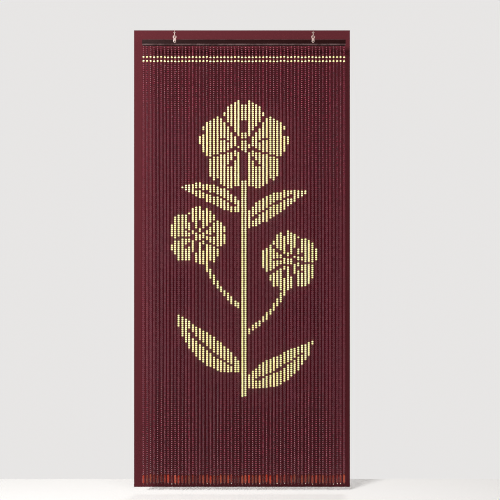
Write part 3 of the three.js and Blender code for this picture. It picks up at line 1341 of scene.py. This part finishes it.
@dataclass
class Hanger:
    """A cup hook, the eye plate that hangs on it and the plate's screw, on one side of the rail."""

    side: Side
    wardrobe: Wardrobe
    wire_radius: float = 2 * MM
    wire_sides: int = 20
    cradle_radius: float = 6 * MM
    cradle_bends: int = 24
    tip_rise: float = 2.5 * MM
    tip_rings: int = 5
    hook_sharp: float = math.radians(40)
    flange_radius: float = 6.5 * MM
    flange_thickness: float = 2.5 * MM
    flange_sides: int = 32
    flange_hub: float = 0.4 * MM
    flange_rim: Profile = (
        (1.6 * MM, -2.15 * MM),
        (0.3 * MM, -1.2 * MM),
        (0, -0.6 * MM),
        (0, -0.1 * MM),
        (0.1 * MM, 0),
    )
    stem_radius: float = 1.5 * MM
    stem_point: float = 4 * MM
    stem_tip: float = 0.2 * MM
    stem_blunt: float = 0.12
    stem_sides: int = 16
    stem_rings: int = 72
    thread_pitch: float = 1.5 * MM
    thread_depth: float = 0.35 * MM
    thread_start: float = 1 * MM
    eye_radius: float = 8 * MM
    eye_hole: float = 3.8 * MM
    eye_bends: int = 32
    foot_radius: float = 6 * MM
    foot_bends: int = 16
    waist_angle: float = math.radians(50)
    plate_edge: float = 0.3 * MM
    edge_steps: int = 2
    weld_reach: float = 0.01 * MM
    hole_sides: int = 28
    screw_hole: float = 2.1 * MM
    screw_radius: float = 3.2 * MM
    screw_dome: float = 1.6 * MM
    screw_bends: int = 7
    screw_rim: float = 0.15 * MM
    screw_shank: float = 1.6 * MM
    screw_point: float = 3 * MM
    screw_tip: float = 0.8 * MM
    recess_length: float = 3.4 * MM
    recess_width: float = 0.8 * MM
    recess_depth: float = 1 * MM
    plate_sharp: float = math.radians(35)

    def name(self, thing: str) -> str:
        """Return the name of a piece or a solid on this side."""
        return f"{thing}_{self.side.value}"

    @cached_property
    def x(self) -> float:
        """Place of the hanger across the rail."""
        low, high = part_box(self.name("hook"))
        return (low[0] + high[0]) / 2

    def hook_line(self) -> list[Pair]:
        """Work out the line of the hook's wire.

        Returns:
            Y and Z of points down the shank, round the cradle and up to the tip.
        """
        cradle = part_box(self.name("hook"))[0][2] + self.cradle_radius + self.wire_radius
        points = [(0.0, -self.flange_thickness / 2), (0.0, cradle)]
        for step in range(1, self.cradle_bends + 1):
            turn = math.pi * step / self.cradle_bends
            y = self.cradle_radius * (1 - math.cos(turn))
            points.append((y, cradle - self.cradle_radius * math.sin(turn)))
        points.append((2 * self.cradle_radius, cradle + self.tip_rise - self.wire_radius))
        return points

    def add_wire(self, work: BMesh) -> None:
        """Sweep the round wire along the hook's line, with a rounded tip.

        Args:
            work: The bmesh to add to.
        """
        rows = [(y, z, self.wire_radius) for y, z in self.hook_line()]
        tip_y, tip_z, radius = rows[-1]
        for step in range(1, self.tip_rings):
            turn = math.pi / 2 * step / self.tip_rings
            rows.append((tip_y, tip_z + radius * math.sin(turn), radius * math.cos(turn)))
        rings = []
        for index, (y, z, radius) in enumerate(rows):
            before, after = rows[max(index - 1, 0)], rows[min(index + 1, len(rows) - 1)]
            ahead = Vector((0, after[0] - before[0], after[1] - before[1])).normalized()
            across = ahead.cross(Vector((1, 0, 0)))
            ring = []
            for side in range(self.wire_sides):
                turn = math.tau * side / self.wire_sides
                offset = Vector((math.cos(turn), 0, 0)) + across * math.sin(turn)
                ring.append(work.verts.new(Vector((self.x, y, z)) + offset * radius))
            rings.append(ring)
        skin(work, rings)
        work.faces.new(rings[0])
        work.faces.new(rings[-1])

    def add_flange(self, work: BMesh) -> None:
        """Turn the flange, domed underneath and flat on top, with an eased rim.

        Args:
            work: The bmesh to add to.
        """
        profile = [(0, -self.flange_thickness), (self.wire_radius + self.flange_hub, -self.flange_thickness)]
        for inset, height in self.flange_rim:
            profile.append((self.flange_radius - inset, height))
        profile.append((0, 0))
        revolve(work, profile, self.flange_sides, lambda x, y, z: Vector((self.x + x, y, z)))

    def add_stem(self, work: BMesh) -> None:
        """Turn the screw stem with a real helical thread, tapered to its point.

        Args:
            work: The bmesh to add to.
        """
        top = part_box(self.name("hook"))[1][2]
        rings = []
        for ring in range(self.stem_rings):
            height = (top - self.stem_tip) * ring / (self.stem_rings - 1)
            taper = min(1.0, max(self.stem_blunt, (top - height) / self.stem_point))
            row = []
            for side in range(self.stem_sides):
                phase = (height / self.thread_pitch - side / self.stem_sides) % 1
                cut = self.thread_depth * abs(2 * phase - 1) if height > self.thread_start else 0.0
                radius = (self.stem_radius - cut) * taper
                turn = math.tau * side / self.stem_sides
                x, y = radius * math.cos(turn), radius * math.sin(turn)
                row.append(work.verts.new((self.x + x, y, height)))
            rings.append(row)
        rings.append([work.verts.new((self.x, 0, top))])
        skin(work, rings)
        work.faces.new(list(reversed(rings[0])))

    def build_hook(self) -> None:
        """Build the hook from its wire, flange and stem."""
        name = self.name("cup_hook")
        work = bmesh.new()
        self.add_wire(work)
        self.add_flange(work)
        self.add_stem(work)
        mesh = mesh_from(name, work)
        mesh.set_sharp_from_angle(angle=self.hook_sharp)
        self.wardrobe.settle(new_piece(name, mesh), "pale_enamel", self.name("hook"))

    def plate_outline(self, eye_rise: float) -> list[list[Pair]]:
        """Work out the plate's outline and its two holes.

        Args:
            eye_rise: Height of the eye above the screw.

        Returns:
            Closed loops of points, across and up from the screw's middle: the outline, then the holes.
        """
        foot_turns = [math.pi * (1 + step / self.foot_bends) for step in range(self.foot_bends + 1)]
        span = math.pi + 2 * self.waist_angle
        eye_turns = [-self.waist_angle + span * step / self.eye_bends for step in range(self.eye_bends + 1)]
        hole_turns = [math.tau * step / self.hole_sides for step in range(self.hole_sides)]
        foot, eye, screw_hole, eye_hole = (
            [(radius * math.cos(t), rise + radius * math.sin(t)) for t in turns]
            for turns, radius, rise in (
                (foot_turns, self.foot_radius, 0.0),
                (eye_turns, self.eye_radius, eye_rise),
                (hole_turns, self.screw_hole, 0.0),
                (hole_turns, self.eye_hole, eye_rise),
            )
        )
        return [foot + eye, screw_hole, eye_hole]

    def build_plate(self) -> None:
        """Stamp the plate from its outline, with small eased edges front and back."""
        name = self.name("hanging_plate")
        low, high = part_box(self.name("eye_plate"))
        screw_z = low[2] + self.foot_radius
        eye_rise = high[2] - self.eye_radius - screw_z
        curve = bpy.data.curves.new("plate_outline", "CURVE")
        curve.dimensions = "2D"
        curve.fill_mode = "BOTH"
        curve.extrude = (high[1] - low[1]) / 2 - self.plate_edge
        curve.bevel_depth = self.plate_edge
        curve.bevel_resolution = self.edge_steps
        curve.offset = -self.plate_edge
        for loop in self.plate_outline(eye_rise):
            spline = curve.splines.new("POLY")
            spline.points.add(len(loop) - 1)
            for point, (x, z) in zip(spline.points, loop):
                point.co = (x, z, 0, 1)
            spline.use_cyclic_u = True
        flat = new_piece("plate_outline", curve)
        depsgraph = bpy.context.evaluated_depsgraph_get()
        work = bmesh.new()
        work.from_mesh(bpy.data.meshes.new_from_object(flat.evaluated_get(depsgraph)))
        bpy.data.objects.remove(flat)
        bmesh.ops.remove_doubles(work, verts=work.verts, dist=self.weld_reach)
        for vertex in work.verts:
            x, z, y = vertex.co
            vertex.co = Vector((self.x + x, (low[1] + high[1]) / 2 + y, screw_z + z))
        mesh = mesh_from(name, work)
        mesh.set_sharp_from_angle(angle=self.plate_sharp)
        self.wardrobe.settle(new_piece(name, mesh), "pale_enamel", self.name("eye_plate"))

    def build_screw(self) -> None:
        """Build the screw with a domed head and a cross recess."""
        name = self.name("plate_screw")
        low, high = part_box(self.name("screw"))
        middle_z = (low[2] + high[2]) / 2
        seat = low[1] + self.screw_dome
        profile = [
            (0, high[1]),
            (self.screw_tip, high[1]),
            (self.screw_shank, high[1] - self.screw_point),
            (self.screw_shank, seat),
            (self.screw_radius - self.screw_rim, seat),
            (self.screw_radius, seat - self.screw_rim),
        ]
        for step in range(1, self.screw_bends + 1):
            turn = math.pi / 2 * step / self.screw_bends
            radius = 0 if step == self.screw_bends else self.screw_radius * math.cos(turn)
            profile.append((radius, seat - self.screw_dome * math.sin(turn)))
        work = bmesh.new()
        revolve(work, profile, self.hole_sides, lambda x, z, y: Vector((self.x + x, y, middle_z + z)))
        piece = new_piece(name, mesh_from(name, work))
        self.cut_recess(piece, (self.x, low[1], middle_z))
        piece.data.set_sharp_from_angle(angle=self.plate_sharp)
        self.wardrobe.settle(piece, "dark_steel", self.name("screw"))

    def cut_recess(self, piece: Object, middle: Point) -> None:
        """Cut a cross recess into the head of a screw.

        Args:
            piece: The screw.
            middle: The middle of the top of its head.
        """
        length, width = self.recess_length, self.recess_width
        for across, up in ((length, width), (width, length)):
            work = bmesh.new()
            add_block(work, (across, 2 * self.recess_depth, up), middle)
            cutter = new_piece("recess", mesh_from("recess", work, smooth=False))
            cut = piece.modifiers.new("recess", "BOOLEAN")
            cut.operation = "DIFFERENCE"
            cut.solver = "EXACT"
            cut.object = cutter
            flatten(piece)
            bpy.data.objects.remove(cutter)

    def build(self) -> None:
        """Build the hook, the plate and the screw."""
        self.build_hook()
        self.build_plate()
        self.build_screw()


@dataclass
class Rail:
    """The wooden rail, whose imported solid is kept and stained."""

    wardrobe: Wardrobe
    node: str = "rail"
    finish: str = "dark_stained_wood"

    def build(self) -> None:
        """Give the rail its stain."""
        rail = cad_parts[self.node]
        self.wardrobe.dress(rail.data, self.finish)
        LOG.info("%s: kept from the frame", rail.name)


@dataclass(frozen=True)
class Lamp:
    """One square soft light that faces the middle of the curtain."""

    name: str
    place: Point
    size: float
    power: float
    hidden_from: tuple[Ray, ...] = ()


@dataclass
class Studio:
    """Camera, lights, a pale floor and a dark backdrop close behind the curtain."""

    picture_width: float = 2.217
    sensor: float = 36.0
    distance: float = 4.0
    aim: Point = (0.027, 17 * MM, -0.960)
    lamp_aim: Point = (0.0, 17 * MM, -1.0)
    floor_gap: float = 30 * MM
    floor_x: Pair = (-1.6, 1.6)
    floor_y: Pair = (-2.4, 0.24)
    floor_colour: Colour = (0.78, 0.77, 0.75, 1)
    backdrop_sides: Pair = (-0.487, 0.470)
    backdrop_top: float = 0.014
    backdrop_y: float = 100 * MM
    # Dark colour of the backdrop, partly painted shade of the unlit room behind the curtain.
    backdrop_colour: Colour = (0.076, 0.0155, 0.0195, 1)
    surround: Colour = (0.80, 0.79, 0.78, 1)
    soft_light: Colour = (0.22, 0.21, 0.21, 1)
    soft_glint: Colour = (0.04, 0.035, 0.04, 1)
    pixel_filter: float = 1.0
    lamps: tuple[Lamp, ...] = (
        Lamp("key_light", (-1.7, -2.6, 0.7), 0.9, 182.0),
        Lamp("fill_light", (2.0, -2.6, -0.3), 1.4, 34.0),
        Lamp("back_light", (0.9, 3.0, 0.6), 1.2, 60.0, (Ray.GLOSSY,)),
        Lamp("sparkle_light", (-1.5, -2.7, -0.8), 0.9, 48.0, (Ray.DIFFUSE,)),
    )

    def add_camera(self) -> None:
        """Stand the camera square to the curtain, a little right of its middle and halfway up."""
        camera = bpy.data.cameras.new("view_camera")
        camera.sensor_width = self.sensor
        camera.lens = self.sensor * self.distance / self.picture_width
        stand = new_piece("view_camera", camera)
        stand.location = (self.aim[0], self.aim[1] - self.distance, self.aim[2])
        stand.rotation_euler = (math.pi / 2, 0, 0)
        bpy.context.scene.camera = stand

    @staticmethod
    def hide(thing: Object, rays: tuple[Ray, ...]) -> None:
        """Hide a light or a sheet of the stage from some kinds of ray."""
        for ray in rays:
            setattr(thing, ray.value, False)

    def add_light(self, lamp: Lamp) -> None:
        """Hang one light.

        Args:
            lamp: The light's name, place, size and power.
        """
        shape = bpy.data.lights.new(lamp.name, "AREA")
        shape.size = lamp.size
        shape.energy = lamp.power
        light = new_piece(lamp.name, shape)
        light.location = lamp.place
        light.rotation_euler = (Vector(self.lamp_aim) - light.location).to_track_quat("-Z", "Y").to_euler()
        self.hide(light, lamp.hidden_from)

    def add_world(self) -> None:
        """Light the scene softly from all sides, dim in reflections and pale behind the curtain."""
        world = bpy.data.worlds.new("studio_world")
        wiring = bare_wiring(world)
        path = wiring.add("ShaderNodeLightPath").outputs
        lit = wiring.mix(path["Is Glossy Ray"], self.soft_light, self.soft_glint)
        colour = wiring.mix(path["Is Camera Ray"], lit, self.surround)
        shade = wiring.add("ShaderNodeBackground", {"Color": colour, "Strength": 1.0})
        wiring.add("ShaderNodeOutputWorld", {"Surface": shade.outputs[0]})
        bpy.context.scene.world = world

    @staticmethod
    def add_sheet(name: str, colour: Colour, corners: Sequence[Point]) -> Object:
        """Add one flat, matt rectangle of the stage, clear from behind.

        Args:
            name: Name of the rectangle and its material.
            colour: Its colour.
            corners: Its four corners, in metres.

        Returns:
            The rectangle.
        """
        material = bpy.data.materials.new(name)
        wiring = bare_wiring(material)
        front = wiring.add("ShaderNodeBsdfDiffuse", {"Color": colour}).outputs[0]
        back = wiring.add("ShaderNodeBsdfTransparent").outputs[0]
        behind = wiring.add("ShaderNodeNewGeometry").outputs["Backfacing"]
        surface = wiring.add("ShaderNodeMixShader", {0: behind, 1: front, 2: back}).outputs[0]
        wiring.add("ShaderNodeOutputMaterial", {"Surface": surface})
        mesh = bpy.data.meshes.new(name)
        mesh.from_pydata(corners, [], [(0, 1, 2, 3)])
        mesh.materials.append(material)
        sheet = new_piece(name, mesh)
        return sheet

    def add_floor(self) -> None:
        """Lay the pale floor just below the lowest bead, clear from below."""
        level = CAD_BOX[0][2] - self.floor_gap
        (left, right), (front, back) = self.floor_x, self.floor_y
        corners = [(left, front, level), (right, front, level), (right, back, level), (left, back, level)]
        self.add_sheet("pale_floor", self.floor_colour, corners)

    def add_backdrop(self) -> None:
        """Stand a dark sheet close behind the curtain, clear from behind, so that the gaps look dark; the
        sheet is partly painted shade, for the dark door and the unlit room behind the curtain.
        """
        depth = self.backdrop_y
        spread = (self.distance + depth - self.aim[1]) / self.distance
        left, right = (self.aim[0] + (edge - self.aim[0]) * spread for edge in self.backdrop_sides)
        high = self.aim[2] + (self.backdrop_top - self.aim[2]) * spread
        low = CAD_BOX[0][2] - self.floor_gap
        corners = [(left, depth, low), (right, depth, low), (right, depth, high), (left, depth, high)]
        sheet = self.add_sheet("dark_backdrop", self.backdrop_colour, corners)
        self.hide(sheet, tuple(Ray))

    def build(self) -> None:
        """Set up the studio, with denoising guides and a pixel filter that keep the beads apart."""
        scene = bpy.context.scene
        scene.view_settings.view_transform = "Standard"
        scene.cycles.denoising_prefilter = "NONE"
        scene.cycles.denoising_input_passes = "RGB_ALBEDO"
        scene.cycles.filter_width = self.pixel_filter
        self.add_camera()
        for lamp in self.lamps:
            self.add_light(lamp)
        self.add_world()
        self.add_floor()
        self.add_backdrop()


def main() -> None:
    """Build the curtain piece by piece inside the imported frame, and report each piece."""
    logging.basicConfig(level=logging.INFO, format="%(message)s")
    Studio().build()
    wardrobe = Wardrobe()
    Rail(wardrobe).build()
    for side in Side:
        Hanger(side, wardrobe).build()
    BeadCurtain(wardrobe).build()
    bpy.context.view_layer.update()


if __name__ == "__main__":
    main()
